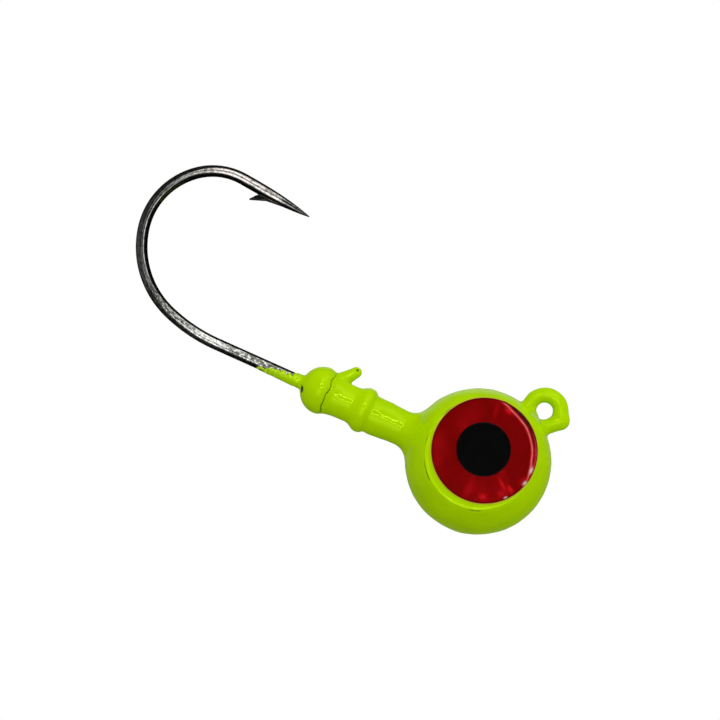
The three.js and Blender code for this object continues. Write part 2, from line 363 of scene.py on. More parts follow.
class Route:
    """Straights and bends in the XZ plane, drawn from a start and a heading."""

    def __init__(self, x, z, heading):
        self.place = np.array([x, z], float)
        self.heading = heading
        self.length = 0.0
        self.pieces = []  # functions of points that give distance, station and offset to the left

    def straight(self, length):
        start, begun = self.place.copy(), self.length
        along = np.array([math.cos(self.heading), math.sin(self.heading)])

        def measure(flat):
            station = np.clip((flat - start) @ along, 0, length)
            gap = flat - start - station[:, None] * along
            left = along[0] * gap[:, 1] - along[1] * gap[:, 0]
            return np.hypot(gap[:, 0], gap[:, 1]), begun + station, left

        self.pieces.append(measure)
        self.place = start + length * along
        self.length += length
        return self

    def bend(self, radius, turn):
        """Turns left by turn radians, or right when it is negative."""
        side, begun = math.copysign(1, turn), self.length
        across = np.array([-math.sin(self.heading), math.cos(self.heading)])
        centre = self.place + side * radius * across
        first = math.atan2(*(self.place - centre)[::-1])

        def measure(flat):
            away = flat - centre
            angle = side * (np.arctan2(away[:, 1], away[:, 0]) - first)
            slack = (2 * np.pi - abs(turn)) / 2
            angle = (angle + slack) % (2 * np.pi) - slack
            angle = np.clip(angle, 0, abs(turn))
            turned = first + side * angle
            point = centre + radius * np.stack([np.cos(turned), np.sin(turned)], 1)
            gap = flat - point
            left = side * (radius - np.hypot(away[:, 0], away[:, 1]))
            return np.hypot(gap[:, 0], gap[:, 1]), begun + radius * angle, left

        self.pieces.append(measure)
        self.heading += turn
        away = self.place - centre
        c, s = math.cos(turn), math.sin(turn)
        self.place = centre + np.array([c * away[0] - s * away[1], s * away[0] + c * away[1]])
        self.length += radius * abs(turn)
        return self

    def nearest(self, points):
        """Each point's distance in the plane from the route, the station there, and how far left it is."""
        flat = points[:, [0, 2]]
        best, where, left = self.pieces[0](flat)
        for measure in self.pieces[1:]:
            gap, station, offset = measure(flat)
            nearer = gap < best
            best = np.where(nearer, gap, best)
            where = np.where(nearer, station, where)
            left = np.where(nearer, offset, left)
        return best, where, left


def leg_and_ring(route, ring_end):
    """Goes on from a shank along X, up the leg and round the eyelet's ring."""
    leg_x = EYELET[0] + RING_RADIUS * math.sin(LEG_RISE)
    leg_z = EYELET[2] - RING_RADIUS * math.cos(LEG_RISE)
    corner = RING_START + math.pi / 2 - LEG_RISE
    tangent = RING_RADIUS * math.tan(corner / 2)
    cut = KINK_BEND * math.tan(corner / 2)
    bend_run = LEG_BEND * math.tan(LEG_RISE / 2)
    route.straight(leg_x - leg_z / math.tan(LEG_RISE) - bend_run - route.place[0])
    route.bend(LEG_BEND, LEG_RISE)
    route.straight(leg_z / math.sin(LEG_RISE) + tangent - bend_run - cut)
    route.bend(KINK_BEND, corner)
    route.straight(tangent - cut)
    return route.bend(RING_RADIUS, ring_end - RING_START)


# ---- surfaces from fields


# Moving points onto a field's surface: how many times, the step that measures its slope, the furthest
# move, and the least square of a slope.
ROUNDS, NUDGE, FURTHEST, FLATTEST = 4, 0.004, 0.08, 0.05


def sample_field(field, low, high, step):
    """A field's values on a grid of cells, worked out one layer at a time."""
    axes = [np.arange(a, b + step, step) for a, b in zip(low, high)]
    y, z = np.meshgrid(axes[1], axes[2], indexing="ij")
    values = np.empty(tuple(len(axis) for axis in axes))
    for i, x in enumerate(axes[0]):
        layer = np.stack([np.full(y.size, x), y.ravel(), z.ravel()], 1)
        values[i] = field(layer).reshape(y.shape)
    return values


def crossing_points(values):
    """One point, counted in cells, in each cell that the zero surface crosses, and its number by cell."""
    cells = tuple(n - 1 for n in values.shape)
    total, count = np.zeros(cells + (3,)), np.zeros(cells)
    for axis in range(3):
        others = [a for a in range(3) if a != axis]
        for shift in ((0, 0), (0, 1), (1, 0), (1, 1)):
            first = [slice(0, n) for n in cells]
            for other, s in zip(others, shift):
                first[other] = slice(s, s + cells[other])
            second = list(first)
            second[axis] = slice(1, 1 + cells[axis])
            a, b = values[tuple(first)], values[tuple(second)]
            crossed = (a < 0) != (b < 0)
            total[..., axis] += np.where(crossed, a / np.where(crossed, a - b, 1), 0)
            for other, s in zip(others, shift):
                total[..., other] += s * crossed
            count += crossed
    active = count > 0
    number = np.full(cells, -1)
    number[active] = np.arange(active.sum())
    return np.argwhere(active) + total[active] / count[active][:, None], number


def crossing_quads(inside, number):
    """Round each grid edge that the surface crosses, a quad of its four cells' points, facing out."""
    quads = []
    for axis in range(3):
        b, c = (axis + 1) % 3, (axis + 2) % 3
        inner = [slice(1, n - 1) for n in inside.shape]
        inner[axis] = slice(0, number.shape[axis])
        after = list(inner)
        after[axis] = slice(1, inside.shape[axis])
        starts, ends = inside[tuple(inner)], inside[tuple(after)]
        for out, picked in ((True, starts & ~ends), (False, ~starts & ends)):
            at = np.argwhere(picked)
            ring = []
            for db, dc in ((0, 0), (1, 0), (1, 1), (0, 1)):
                cell = at.copy()
                cell[:, b] += db
                cell[:, c] += dc
                ring.append(number[tuple(cell.T)])
            quad = np.stack(ring, 1)
            quads.append(quad if out else quad[:, ::-1])
    return np.concatenate(quads)


def settle(field, points):
    """Moves points onto the field's zero surface."""
    points = points.copy()
    for _ in range(ROUNDS):
        value = field(points)
        slope = np.empty_like(points)
        for axis in range(3):
            step = np.zeros(3)
            step[axis] = NUDGE
            slope[:, axis] = (field(points + step) - field(points - step)) / (2 * NUDGE)
        size = np.maximum((slope**2).sum(1), FLATTEST)
        move = (value / size)[:, None] * slope
        length = np.linalg.norm(move, axis=1)[:, None]
        points -= move * np.minimum(1, FURTHEST / np.maximum(length, 1e-9))
    return points


def refine(bm, wanted):
    """Halves the edges of the faces whose middle is wanted(middles), which is in millimetres."""
    chosen = wanted(np.array([face.calc_center_median() for face in bm.faces]))
    edges = dict.fromkeys(edge for face, pick in zip(bm.faces, chosen) if pick for edge in face.edges)
    bmesh.ops.subdivide_edges(bm, edges=list(edges), cuts=1, use_grid_fill=True)


def shaped(name, field, low, high, step, wanted=None):
    """A smooth mesh object, in the CAD frame, of a field counted from the ball's centre."""
    values = sample_field(field, low, high, step)
    points, number = crossing_points(values)
    points = settle(field, points * step + np.array(low))
    bm = bmesh.new()
    verts = [bm.verts.new(point) for point in points]
    for quad in crossing_quads(values < 0, number):
        bm.faces.new([verts[i] for i in quad])
    if wanted is not None:
        refine(bm, wanted)
        finer = settle(field, np.array([vert.co for vert in bm.verts]))
        for vert, place in zip(bm.verts, finer):
            vert.co = place
    mesh = bpy.data.meshes.new(name)
    bm.to_mesh(mesh)
    bm.free()
    return finish_mesh(name, mesh)


def finish_mesh(name, mesh):
    """Links a mesh given in millimetres from the ball's centre, smooth, in the CAD frame."""
    mesh.transform(Matrix.Scale(MM, 4) @ Matrix.Translation(Vector(BALL)))
    mesh.polygons.foreach_set("use_smooth", np.ones(len(mesh.polygons), bool))
    mesh.update()
    return placed(name, mesh)


def vertex_places(piece):
    """A piece's vertices in millimetres from the ball's centre."""
    flat = np.empty(len(piece.data.vertices) * 3)
    piece.data.vertices.foreach_get("co", flat)
    return flat.reshape(-1, 3) / MM - BALL


def paint_attribute(piece, name, values):
    attribute = piece.data.attributes.new(name, "FLOAT", "POINT")
    attribute.data.foreach_set("value", values.astype(np.float32))


# ---- the painted head

NECK_RADIUS, NECK_FLARE, BARREL_RADIUS, BARREL_FLARE = 2.15, 0.15, 2.21, 0.1
NECK_END = -3.0  # inside the ball
AXIS_SHIFT = 0.09  # the neck's axis is this far below the shank's, and the bulb's this far above it
RIDGE_X, RIDGE_CORE, RIDGE_BEAD, RIDGE_STRETCH = -14.92, 2.1, 0.66, 0.85
RIDGE_FILLET, RIDGE_FILLET_BEHIND = 0.22, 0.7  # the second is added to the first behind the ridge
BULB_X, BULB_RADIUS, BULB_BACK, BULB_FRONT = -20.55, 2.87, 2.63, 2.05
GROOVE_X, SEAM_DEPTH, SEAM_REACH = -19.72, 0.15, 0.075
# Round each cheek's rim: how far outside it, how wide, and how deep or high.
RIM_GROOVE, RIM_BEAD = (0.06, 0.07, 0.10), (-0.12, 0.12, 0.035)
RIM_FROM = 5.2  # the rims are further than this from the middle plane
RIM_ROUND, PIT_ROUND = 0.06, 0.05
NECK_FILLET, BULB_FILLET, SPUR_FILLET, RING_FILLET, SLEEVE_FILLET = 1.6, 0.3, 0.45, 0.8, 0.3
SPUR_FOOT, SPUR_TIP = (-19.05, 0, 2.05), (-17.68, 0, 3.78)
SPUR_RADII = (0.95, 0.67)
SLEEVE_MIDDLE = -27.2  # where the paint on the shank ends, on its side
SLEEVE_ABOVE, SLEEVE_UNDER = 3.2, 2.4  # how much further forward and back it ends on top and underneath
SLEEVE_THIN, SLEEVE_ADDED = 0.045, 0.10  # its thickness there, and how much it gains towards the bulb
SLEEVE_SUNK = 0.06  # how far inside the wire the paint's surface is where there is none
CHIPS = [(-26.05, 0.27), (-25.3, 0.27), (-24.62, 0.2)]  # bare patches on top: place and reach
# Where the paint missed: a slit under the wire that ends in a pit, and a fleck on the spur.
PIT_FOOT, PIT_TIP, PIT_RADII = (-22.98, -1.1, -0.5), (-22.92, -1.3, -0.95), (0.12, 0.5)
FLECK, FLECK_RADIUS = (-17.62, -0.62, 4.0), 0.11
# Round the eyelet, from forward: where paint gathers outside, and where none fills the ring's inside.
GATHERED, UNFILLED = (-0.1, 0.45, 0.12), (-2.09, 0.6, 0.5)  # turn, reach and thickness
SWELLS = [(0.022, 4.2, 21), (0.009, 1.5, 22)]  # the paint's ripples: height, length and seed
PAINT_STEP, LEAD_STEP, HOOK_STEP = 0.155, 0.22, 0.12

painted_ring = leg_and_ring(Route(-8.0, 0.0, 0.0), PAINTED_RING_END)


def low_back(points):
    """1 on the lower back part of the ball, 0 on its upper front."""
    return ramp(-(0.8 * points[:, 0] + 0.6 * points[:, 2]), -4.0, 3.0)


def rim_ring(points, ring):
    """The height of a ring round the cheeks' rims."""
    x, y, z = points.T
    outside, reach, height = ring
    return height * bell(np.hypot(x, z) - LAND_RADIUS - outside, reach) * (np.abs(y) > RIM_FROM)


def rim_hollow(points):
    """The depth of the broken groove just outside each cheek's rim."""
    broken = np.clip(0.7 + 0.5 * waves(points, 2.2, 11), 0.25, 1.1)
    return rim_ring(points, RIM_GROOVE) * broken * (0.2 + 0.9 * low_back(points))


def collar_hollow(points):
    """The depth of the wandering seam between the barrel and the bulb."""
    x, y, z = points.T
    round_by = np.arctan2(z, np.abs(y))
    line = GROOVE_X + 0.07 * np.sin(5 * round_by + 1) + 0.06 * np.sin(9 * round_by)
    depth = SEAM_DEPTH * (1 - ramp(z, 0.5, 2.2) / 3)
    return depth * bell(x - line, SEAM_REACH) * (np.hypot(y, z) > 1.5)


def ball_field(points):
    """The ball with its flat cheeks. The paint stands up a little along each cheek's rim."""
    x, y, z = points.T
    ball = np.sqrt(x * x + y * y + z * z) - BALL_RADIUS
    bead = rim_ring(points, RIM_BEAD) * (0.3 + low_back(points))
    return round_max(ball, np.abs(y) - CHEEK, RIM_ROUND) + rim_hollow(points) - bead


def ellipse_field(x, r, half_x, half_r):
    size = np.hypot(x / half_x, r / half_r)
    slope = np.hypot(x / half_x**2, r / half_r**2)
    return size * (size - 1) / np.maximum(slope, 1e-6)


def collar_field(points):
    """Neck, ridge, barrel and bulb, all turned about the shank, and a wandering seam."""
    x, y, z = points.T
    z = z + AXIS_SHIFT * (ramp(x, -14.5, -13.5) - ramp(-x, 19.0, 20.5))
    r = np.hypot(y, z)
    neck = NECK_RADIUS + NECK_FLARE * ramp(-x, 10.0, 13.4)
    barrel = BARREL_RADIUS + BARREL_FLARE * ramp(-x, 18.0, 19.4)
    radius = np.where(x > RIDGE_X, neck, barrel)
    core = np.maximum(r - radius, np.maximum(BULB_X - x, x - NECK_END))
    ridge = np.hypot(RIDGE_STRETCH * (x - RIDGE_X), r - RIDGE_CORE) - RIDGE_BEAD
    reach = RIDGE_FILLET + RIDGE_FILLET_BEHIND * ramp(-x, 14.6, 15.3)
    collar = smooth_min(core, ridge, reach)
    from_bulb = x - BULB_X
    half = np.where(from_bulb < 0, BULB_BACK, BULB_FRONT)
    collar = smooth_min(collar, ellipse_field(from_bulb, r, half, BULB_RADIUS), BULB_FILLET)
    return collar + collar_hollow(points)


def finger_field(points, foot, tip, radii):
    foot, tip = np.array(foot), np.array(tip)
    along = tip - foot
    share = np.clip((points - foot) @ along / (along @ along), 0, 1)
    radius = radii[0] + (radii[1] - radii[0]) * share
    return np.linalg.norm(points - foot - share[:, None] * along, axis=1) - radius


def sleeve_end(points):
    """Where along the shank the run-out paint ends, ragged, and further back underneath."""
    _, y, z = points.T
    lift = np.maximum(z / np.maximum(np.hypot(y, z), 0.1), -0.66)
    slant = np.where(lift > 0, SLEEVE_ABOVE, SLEEVE_UNDER)
    return SLEEVE_MIDDLE + slant * lift + 0.3 * waves(points, 0.9, 5)


def sleeve_field(points):
    """Paint that ran on along the shank, thin at its end, and chipped on top."""
    x, y, z = points.T
    r = np.hypot(y, z)
    lift = z / np.maximum(r, 0.1)
    cover = ramp(x - sleeve_end(points), 0.0, 0.45)
    thick = SLEEVE_SUNK + SLEEVE_THIN + SLEEVE_ADDED * ramp(x, -27.5, -24.0)
    chip = sum(bell(x - place, reach) for place, reach in CHIPS)
    chip = chip * ramp(lift + 0.25 * waves(points, 0.7, 3), 0.1, 0.4)
    film = thick * cover * (1 - np.clip(1.5 * chip, 0, 1)) + 0.012 * waves(points, 0.6, 8)
    return np.maximum(r - (WIRE / 2 - SLEEVE_SUNK + film), np.maximum(-30.4 - x, x + 22.0))


def eyelet_field(points):
    """The painted ring. Paint fills the inside of its kink and gathers on the outside."""
    x, y, z = points.T
    gap = painted_ring.nearest(points)[0]
    turn = np.arctan2(z - EYELET[2], x - EYELET[0])
    place, reach, thickness = GATHERED
    wire = np.hypot(gap, y) - (WIRE / 2 + PAINT + thickness * bell(turn - place, reach))
    place, reach, thickness = UNFILLED
    off = (turn - place + np.pi) % (2 * np.pi) - np.pi
    ring = np.hypot(np.hypot(x - EYELET[0], z - EYELET[2]) - RING_RADIUS, y) - (WIRE / 2 + PAINT)
    return smooth_min(wire, ring + thickness * bell(off, reach), 0.15)


def head_field(points):
    """Ball, collar and spur over the paint."""
    x, _, z = points.T
    head = smooth_min(ball_field(points), collar_field(points), NECK_FILLET)
    near = (np.abs(x + 18.4) < 3.5) & (z > 0)
    spur = where_near(near, finger_field, points, SPUR_FOOT, SPUR_TIP, SPUR_RADII)
    return smooth_min(head, spur, SPUR_FILLET)


def missed(points):
    """How far a point is from the bare slit, pit and fleck."""
    pit = finger_field(points, PIT_FOOT, PIT_TIP, PIT_RADII)
    fleck = np.linalg.norm(points - np.array(FLECK), axis=1) - FLECK_RADIUS
    return np.minimum(pit, fleck)


def paint_field(points):
    """The painted surface, with its eyelet, the paint on the shank, and its ripples off the cheeks."""
    x, y, z = points.T
    near = (x > -3) & (z > 2) & (np.abs(y) < 4)
    head = smooth_min(head_field(points), where_near(near, eyelet_field, points), RING_FILLET)
    head = smooth_min(head, where_near(x < -21, sleeve_field, points), SLEEVE_FILLET)
    head = round_max(head, -missed(points), PIT_ROUND)
    swell = sum(height * waves(points, length, seed) for height, length, seed in SWELLS)
    on_land = (np.abs(y) > CHEEK - 0.12) & (np.hypot(x, z) < LAND_RADIUS)
    return head + swell * ~on_land * (x > -24)


def fine_paint(middles):
    """Where the painted surface needs smaller faces."""
    x, y, z = middles.T
    rim = (np.abs(np.hypot(x, z) - LAND_RADIUS) < 0.3) & (np.abs(y) > 5.4)
    seam = np.abs(x - GROOVE_X) < 0.4
    pit = (np.abs(x + 22.8) < 0.6) & (y < 0)
    sleeve = (x < -23.4) & (np.hypot(y, z) < 1.2)
    return rim | seam | pit | sleeve


def paint_looks(nodes, position):
    flow = nodes.noise(position, 260.0, 3.0)
    fine = nodes.noise(position, 2600.0, 2.0)
    speck = nodes.noise(position, 5200.0, 3.0, 0.65)
    bare_and_pit_shade, worn_and_glints, crevice_shade = (nodes.attribute(name) for name in ("bare_and_pit_shade", "worn_and_glints", "crevice_shade"))
    body = nodes.remap(flow, 0.3, 0.7, 0.0, 1.0)
    colour = nodes.mix(body, rgb(0.38, 0.65, 0.0), rgb(0.425, 0.70, 0.0))
    # At the ragged end of the paint on the shank: pale specks that are painted highlights, and dark chips.
    speck_highlight = nodes.times(worn_and_glints, nodes.remap(speck, 0.53, 0.62, 0.0, 0.85))
    dark = nodes.times(worn_and_glints, nodes.remap(speck, 0.47, 0.40, 0.0, 0.9))
    colour = nodes.mix(speck_highlight, colour, rgb(0.80, 0.85, 0.16))
    colour = nodes.mix(dark, colour, rgb(0.05, 0.07, 0.005))
    # Painted shade: darker green in the cheek-rim groove and the collar's seam.
    colour = nodes.mix(crevice_shade, colour, rgb(0.12, 0.20, 0.0))
    # Near black where the paint missed: painted shade in the slit, pit and fleck. Also where the paint's
    # surface lies at the wire's.
    colour = nodes.mix(bare_and_pit_shade, colour, rgb(0.004, 0.006, 0.002))
    smooth = nodes.remap(fine, 0.3, 0.7, 0.02, 0.05)
    return {
        "Base Color": colour,
        "Roughness": nodes.math("MULTIPLY_ADD", worn_and_glints, 0.2, smooth),
        "Specular Tint": rgb(0.75, 1.0, 0.05),
        "Normal": nodes.bump(fine, 0.08, 0.00001),
    }


def make_paint():
    low, high = (-31, -6.3, -9.3), (9.5, 6.3, 12.4)
    paint = shaped("paint_shell", paint_field, low, high, PAINT_STEP, fine_paint)
    places = vertex_places(paint)
    x, y, z = places.T
    radius = np.hypot(y, z)
    # Painted shade in the slit, pit and fleck where the paint missed.
    bare_and_pit_shade = 1 - ramp(missed(places), 0.0, 0.07)
    hidden = (1 - ramp(radius - WIRE / 2, -0.02, 0.02)) * (x < -23.6)
    paint_attribute(paint, "bare_and_pit_shade", np.maximum(bare_and_pit_shade, hidden))
    # The ragged end of the paint on the shank, where its specks are painted highlights and chips.
    paint_attribute(paint, "worn_and_glints", bell(x - sleeve_end(places), 1.8) * (x < -23.6) * (radius < 1.2))
    # Painted shade where the cheek-rim groove and the collar's seam are deep.
    seam = bell(x - GROOVE_X, 0.5) * ramp(collar_hollow(places), 0.03, 0.12)
    rim = ramp(rim_hollow(places), 0.03, 0.12)
    paint_attribute(paint, "crevice_shade", np.maximum(seam, rim))
    paint.data.materials.append(material("powder_paint", paint_looks))
    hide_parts("paint_coat")
    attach(paint, "root")
    return paint


# ---- the hook

# The barb's side view, as distances back from the tip and below the point's axis.
BARB_OUTLINE = [(2.0, -0.1), (2.0, 0.3), (3.7, 0.53), (5.8, 0.93), (7.75, 1.88), (7.36, 1.30)]
BARB_OUTLINE += [(7.16, 0.98), (6.92, 0.72), (6.5, 0.5), (6.1, 0.2), (6.1, -0.1)]
BARB_HALF, BARB_FILLET = 0.32, 0.08
EDGE_ROUND = 0.03
TIP_BLUNTNESS = 0.04  # of the wire's radius
PRESSED_ACROSS, PRESSED_DEEP = 0.06, 0.03  # how much the bend is pressed thinner, each way
# Drawing left a narrow flat along each side of the shank, leaning up, as deep as a share of its radius.
FLAT_LEAN, FLAT_DEPTH = math.radians(12), 0.075
GRAIN_STRETCH = 0.55  # marks are this much shorter across the wire than along it
NICKEL, UPPER_TINT = rgb(0.62, 0.62, 0.60), rgb(0.60, 0.51, 0.48)
# The second colour darkens blotches that are partly painted shade, and the third is painted shade on the
# barb, the point's underside and the bend's inside, and darkens towards the tip.
STAINED, BLOTCHES_AND_SHADE, TIP_AND_SHADE_DARK = rgb(0.14, 0.14, 0.12), rgb(0.10, 0.10, 0.085), rgb(0.03, 0.03, 0.026)

bend_route = Route(SHANK_END, 0.0, math.pi)
for bend_radius, bend_degrees in BENDS:
    bend_route.bend(bend_radius, -math.radians(bend_degrees))
bend_length = bend_route.length
bend_route.straight(POINT_LENGTH)
TIP, TIP_HEADING = bend_route.place.copy(), bend_route.heading
shank_route = leg_and_ring(Route(SHANK_END, 0.0, 0.0), RING_END)


def polygon_field(flat, outline):
    """Signed distance from a closed outline in its own plane."""
    best = np.full(len(flat), np.inf)
    inside = np.zeros(len(flat), bool)
    for (ax, ay), (bx, by) in zip(outline, outline[1:] + outline[:1]):
        edge = np.array([bx - ax, by - ay])
        away = flat - np.array([ax, ay])
        share = np.clip(away @ edge / (edge @ edge), 0, 1)
        gap = away - share[:, None] * edge
        best = np.minimum(best, np.hypot(gap[:, 0], gap[:, 1]))
        crosses = (ay > flat[:, 1]) != (by > flat[:, 1])
        if by != ay:
            at = ax + (flat[:, 1] - ay) * (bx - ax) / (by - ay)
            inside ^= crosses & (flat[:, 0] < at)
    return np.where(inside, -best, best)


def flattened(wire, y, rise, depth):
    """A wire's field with its two side flats, as deep as a share of its radius."""
    flats = np.abs(y) * math.cos(FLAT_LEAN) + rise * math.sin(FLAT_LEAN) - WIRE / 2 * (1 - depth)
    return round_max(wire, flats, EDGE_ROUND)


def from_tip(points):
    """How far back from the hook's tip the points are, and how far below the point's axis."""
    along = np.array([math.cos(TIP_HEADING), math.sin(TIP_HEADING)])
    away = points[:, [0, 2]] - TIP
    return -(away @ along), away @ np.array([along[1], -along[0]])


def bend_field(points):
    """The bend and the point, from the shank's end on."""
    y = points[:, 1]
    gap, station, left = bend_route.nearest(points)
    share = np.clip((bend_route.length - station) / POINT_LENGTH, 0, 1)
    radius = WIRE / 2 * np.maximum(1 - (1 - share) ** POINT_FULLNESS, TIP_BLUNTNESS)
    pressed = ramp(station, 4, 12) * (1 - ramp(station, bend_length - 3, bend_length + 2))
    bend = np.hypot(gap / (1 - PRESSED_DEEP * pressed), y * (1 + PRESSED_ACROSS * pressed)) - radius
    depth = FLAT_DEPTH * (1 - ramp(station, 2.5, 5.0))
    return np.where(depth > 0.001, flattened(bend, y, -left, depth), bend)


def shank_field(points):
    """The shank, the leg and the eyelet's ring."""
    x, y, _ = points.T
    gap, _, rise = shank_route.nearest(points)
    shank = np.hypot(gap, y) - WIRE / 2
    return np.where(x < -22, flattened(shank, y, rise, FLAT_DEPTH), shank)


def barb_field(points):
    back, below = from_tip(points)
    half = BARB_HALF * (0.3 + 0.7 * ramp(back, 1.8, 4.5))
    outline = polygon_field(np.stack([back, below], 1), BARB_OUTLINE)
    return round_max(outline, np.abs(points[:, 1]) - half, EDGE_ROUND)


def hook_field(points):
    x, _, z = points.T
    wire = np.minimum(bend_field(points), shank_field(points))
    near = (x > TIP[0] - 9) & (x < TIP[0] + 1) & (z > 14) & (z < 20)
    return smooth_min(wire, where_near(near, barb_field, points), BARB_FILLET)


def fine_hook(middles):
    x, _, z = middles.T
    return (x > TIP[0] - 9.5) & (z > 15) & (x < TIP[0] + 1)


def drawn_grain(places):
    """Coordinates for marks drawn out along the wire: the station, shortened, and the place round it."""
    bend_gap, bend_station, bend_left = bend_route.nearest(places)
    shank_gap, shank_station, shank_left = shank_route.nearest(places)
    on_bend = bend_gap < shank_gap
    station = np.where(on_bend, -bend_station, shank_station)
    offset = np.where(on_bend, -bend_left, shank_left)
    return np.stack([GRAIN_STRETCH * station, places[:, 1], offset], 1)


def dark_tip_and_bend_shade(places):
    """1 where the wire is painted dark: painted shade on the barb, the point's underside and the inside of
    the bend, and darker towards the tip.
    """
    back, below = from_tip(places)
    # Painted shade on the barb and the point's underside.
    barb = ramp(below, 0.42, 0.55) * ramp(-back, -8.5, -8.0)
    towards_tip = 0.75 * ramp(-back, -4.6, -3.4)
    at_point = np.maximum(barb, towards_tip) * (places[:, 2] > 13) * (back > -1)
    gap, _, left = bend_route.nearest(places)
    # Painted shade on the inside of the bend.
    inside = 0.85 * ramp(-left, 0.34, 0.5) * (gap < WIRE)
    return np.maximum(at_point, inside)


def nickel_looks(nodes, position):
    grain, cut = nodes.attribute("grain", "Vector"), nodes.attribute("cut")
    blotch = nodes.noise(grain, 1.1, 3.0, 0.6)
    marks = nodes.noise(grain, 4.0, 4.0, 0.7)
    station = nodes.add("SeparateXYZ", {0: grain}).outputs[0]
    height = nodes.add("SeparateXYZ", {0: position}).outputs[2]
    # Pinkish brown towards the top of the hook.
    upper_tint = nodes.remap(height, 0.004, 0.011, 0.0, 0.7)
    upper_tint = nodes.times(upper_tint, nodes.remap(blotch, 0.35, 0.65, 0.3, 1.0))
    colour = nodes.mix(upper_tint, NICKEL, UPPER_TINT)
    colour = nodes.mix(nodes.remap(marks, 0.54, 0.42, 0.0, 0.85), colour, STAINED)
    # Rough and blotched on the lower half of the bend, and where the paint's spray reached the shank. The
    # dark blotches there are partly painted shade, for the dark that the wire mirrors.
    from_lower = nodes.math("ABSOLUTE", nodes.math("ADD", station, 4.2))
    lower = nodes.remap(from_lower, 2.6, 1.2, 0.0, 1.0)
    rugged_and_shaded = nodes.math("MAXIMUM", lower, nodes.remap(station, -0.2, 1.2, 0.0, 1.0))
    patches = nodes.times(rugged_and_shaded, nodes.remap(marks, 0.59, 0.49, 0.0, 0.9))
    # Partly painted shade: dark blotches on the lower bend and the shank.
    colour = nodes.mix(patches, colour, BLOTCHES_AND_SHADE)
    # Painted shade on the barb, the point's underside and inside the bend, and darker towards the tip.
    cut = nodes.times(cut, nodes.remap(marks, 0.66, 0.56, 0.8, 1.0))
    smooth = nodes.remap(blotch, 0.3, 0.7, 0.06, 0.11)
    return {
        "Base Color": nodes.mix(cut, colour, TIP_AND_SHADE_DARK),
        "Metallic": 1.0,
        "Roughness": nodes.math("MULTIPLY_ADD", rugged_and_shaded, 0.04, smooth),
        "Specular Tint": rgb(0.0, 0.0, 0.0),
        "Normal": nodes.bump(marks, nodes.math("MULTIPLY_ADD", rugged_and_shaded, 0.35, 0.35), 0.00003),
    }


def make_hook():
    low, high = (-50.2, -0.96, -1.2), (9.2, 1.02, 21.6)
    hook = shaped("hook_wire", hook_field, low, high, HOOK_STEP, fine_hook)
    grain = hook.data.attributes.new("grain", "FLOAT_VECTOR", "POINT")
    places = vertex_places(hook)
    grain.data.foreach_set("vector", drawn_grain(places).astype(np.float32).ravel())
    paint_attribute(hook, "cut", dark_tip_and_bend_shade(places))
    hook.data.materials.append(material("black_nickel", nickel_looks))
    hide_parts("hook")
    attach(hook, "root")


# ---- the sticker eyes

STICKER_RADIUS = 6.35
PUPIL_RADIUS = 3.24
FOLD = math.radians(24)  # how far the overhanging edge is pressed down past the fold
FOLD_RADIUS = 0.3
# The fold's distance from the sticker's centre, as shares of its radius: nearest towards FOLD_TOWARDS,
# and further out by FOLD_RISE a FOLD_SPREAD to either side.
FOLD_TOWARDS, FOLD_SPREAD = math.radians(41), math.radians(52)
FOLD_NEAR, FOLD_RISE = 0.885, 0.09
RIDGE_HEIGHT, BUCKLE_HEIGHT = 0.03, 0.02  # of the crease, and of the ripples past it
# A sticker's layers: heights over the cheek, what is added to the radius, and rings inside and at the edge.
LAYERS = {
    "adhesive": (0.0, 0.06, 0.04, (4, 26)),
    "iris_foil": (0.06, 0.14, -0.06, (8, 40)),
    "pupil_ink": (0.145, 0.165, 0.0, (4, 6)),
    "clear_film": (0.15, 0.26, -0.07, (8, 40)),
}
AROUND = 288  # points round each ring
BEVEL = 0.3  # of a layer's thickness
# Where the foil's facets glint: turn and distance from the centre with the reach of each (degrees and
# shares of the radius), and strength.
GLINTS = [
    (-32.5, 2.6, 0.87, 0.075, 1.2),
    (-38.5, 2.2, 0.70, 0.13, 1.0),
    (-45, 5, 0.865, 0.07, 0.6),
    (-62, 30, 0.80, 0.25, 0.16),
    (-68.5, 4.5, 0.87, 0.06, 0.9),
    (-88, 5, 0.76, 0.20, 0.4),
    (-144, 7, 0.89, 0.10, 0.35),
    (194, 12, 0.88, 0.13, 0.36),
    (98, 3, 0.79, 0.18, 0.35),
    (82, 5, 0.88, 0.06, 1.2),
    (134, 18, 0.72, 0.20, 0.15),
    (156, 9, 0.59, 0.12, 0.2),
    (-27, 7, 0.53, 0.09, 0.26),
    (-14, 6, 0.91, 0.05, 0.5),
]
# In the same way, where the crease's painted highlight flashes white, and a second, shorter crease drawn
# only as a painted highlight.
FLASHES = [(1, 3.5, 0.945, 0.024, 1.3), (-15, 2.5, 0.966, 0.024, 1.2), (-42, 1.8, 0.963, 0.016, 1.0)]
SECOND_CREASE = (24, 18, 0.962, 0.012, 1.0)
CREASE_REACH = 0.017


def disc_centre(node):
    """The middle of a CAD disc, in X and Z from the ball's centre."""
    low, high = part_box(node)
    middle = (np.array(low) + np.array(high)) / 2 / MM - BALL
    return middle[0], middle[2]


def cheek_depth(rho):
    """How far from the middle plane the painted head's face is, at a distance from its centre."""
    ball = np.sqrt(np.maximum(BALL_RADIUS**2 - rho**2, 0))
    return np.where(rho < LAND_RADIUS, CHEEK, np.minimum(ball, CHEEK))


